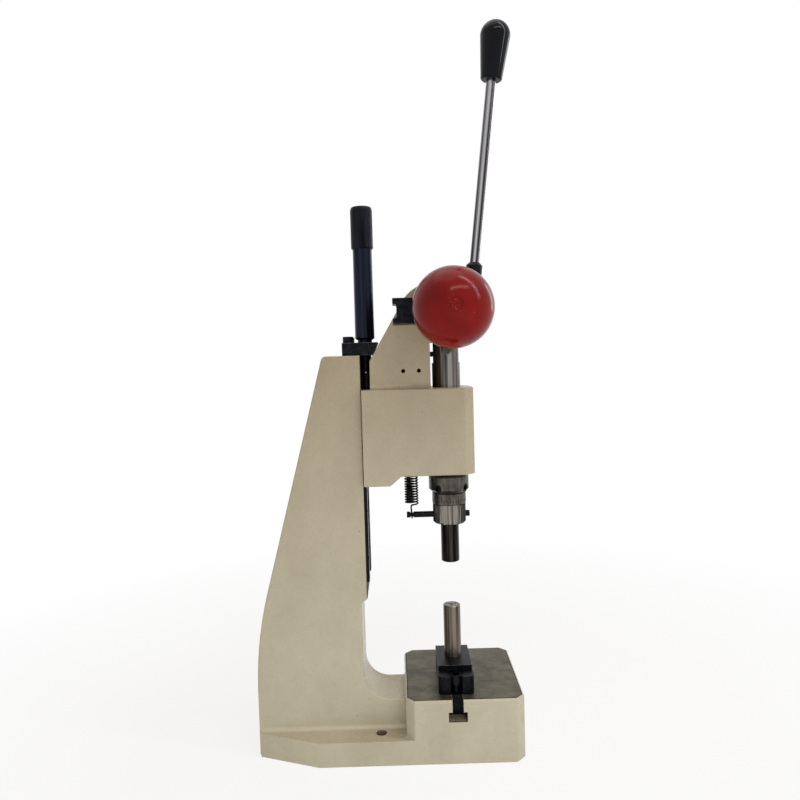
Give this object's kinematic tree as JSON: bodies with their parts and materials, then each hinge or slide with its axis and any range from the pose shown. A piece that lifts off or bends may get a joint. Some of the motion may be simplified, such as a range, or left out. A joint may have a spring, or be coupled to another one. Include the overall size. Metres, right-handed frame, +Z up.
{
  "type": "hand lever toggle press for setting eyelets",
  "caption": "Bench hand press for eyelets: C-shaped cream casting, head on dovetail ways, ram driven by a lever, crank and link, round punch over a die on a tee-slot table.",
  "frame": {"origin": "on the bench plane, in the casting's middle plane, straight under the ram's axis", "axes": "+X to the operator's side (front), +Y to the operator's right when facing the machine (side of the lever), +Z up"},
  "size_m": [0.2701, 0.2055, 0.7258],
  "materials": {
    "cream_paint": "semi-gloss cream paint over cast iron",
    "bright_steel": "ground and turned steel",
    "black_steel": "blackened steel",
    "tool_steel": "turned tool steel",
    "bronze": "turned bearing bronze",
    "red_plastic": "glossy moulded",
    "black_plastic": "glossy moulded",
    "spring_steel": "oiled spring wire"
  },
  "bodies": {
    "frame": {"base_casting": "cream_paint", "way_rail_near": "tool_steel", "way_rail_far": "tool_steel", "way_screws": "black_steel", "gib_strip": "tool_steel", "gib_screws": "black_steel", "spindle_bracket": "black_steel", "bracket_screws": "black_steel"},
    "height_spindle": {"height_spindle": "tool_steel", "thrust_ring": "bright_steel", "spindle_handle": "black_steel", "handle_grip": "black_steel"},
    "head": {"head_casting": "cream_paint", "spindle_nut": "bronze", "ram_bushes": "bronze", "shaft_bushes": "bronze", "guide_screw": "black_steel", "spring_anchor": "bright_steel", "return_spring": "spring_steel"},
    "lever": {"cross_shaft": "bright_steel", "crank_key": "bright_steel", "crank_webs": "tool_steel", "crank_pin": "bright_steel", "lever_hub": "black_steel", "hub_screw": "black_steel", "lever_rod": "bright_steel", "lever_knob": "black_plastic", "ball_knob": "red_plastic", "stop_block": "black_steel", "block_screw": "black_steel"},
    "link": {"toggle_link": "tool_steel"},
    "ram": {"ram": "bright_steel", "wrist_pin": "black_steel", "clamp_collar": "tool_steel", "collar_screws": "black_steel", "cross_pin": "black_steel"},
    "dial": {"dial_ring": "tool_steel"},
    "holder": {"punch_holder": "bright_steel", "punch": "black_steel"},
    "die": {"die_block": "black_steel", "lower_die": "tool_steel", "die_screw": "black_steel", "tee_nut": "black_steel", "clamp_screw": "black_steel"}
  },
  "joints": [
    {"name": "head_slide", "type": "slide", "parent": "frame", "child": "head", "axis": [0, 0, 1], "range_m": [-0.022, 0.001]},
    {"name": "spindle_turn", "type": "hinge", "parent": "frame", "child": "height_spindle", "pos_m": [-0.079, 0, 0.4], "axis": [0, 0, 1], "range_deg": [-4000, 200]},
    {"name": "lever_pull", "type": "hinge", "parent": "head", "child": "lever", "pos_m": [0, 0, 0.4244], "axis": [0, 1, 0], "range_deg": [0, 50]},
    {"name": "link_swing", "type": "hinge", "parent": "lever", "child": "link", "pos_m": [0.02125, 0, 0.41871], "axis": [0, 1, 0], "range_deg": [-71, 1]},
    {"name": "ram_slide", "type": "slide", "parent": "head", "child": "ram", "axis": [0, 0, -1], "range_m": [-0.0003, 0.0214], "deforming": ["return_spring"]},
    {"name": "dial_turn", "type": "hinge", "parent": "ram", "child": "dial", "pos_m": [0, 0, 0.244], "axis": [0, 0, 1], "range_deg": [-1, 330]},
    {"name": "holder_slide", "type": "slide", "parent": "ram", "child": "holder", "axis": [0, 0, -1], "range_m": [0, 0.0009]},
    {"name": "die_slide", "type": "slide", "parent": "frame", "child": "die", "axis": [0, 1, 0], "range_m": [-0.008, 0.008]}
  ],
  "couplings": [
    {"joint": "spindle_turn", "follows": "head_slide", "rad_per_m": 3141.6},
    {"joint": "link_swing", "follows": "lever_pull", "ratio": -1.4071},
    {"joint": "ram_slide", "follows": "lever_pull", "m_per_rad": 0.024144},
    {"joint": "dial_turn", "follows": "holder_slide", "rad_per_m": 6283.2}
  ]
}
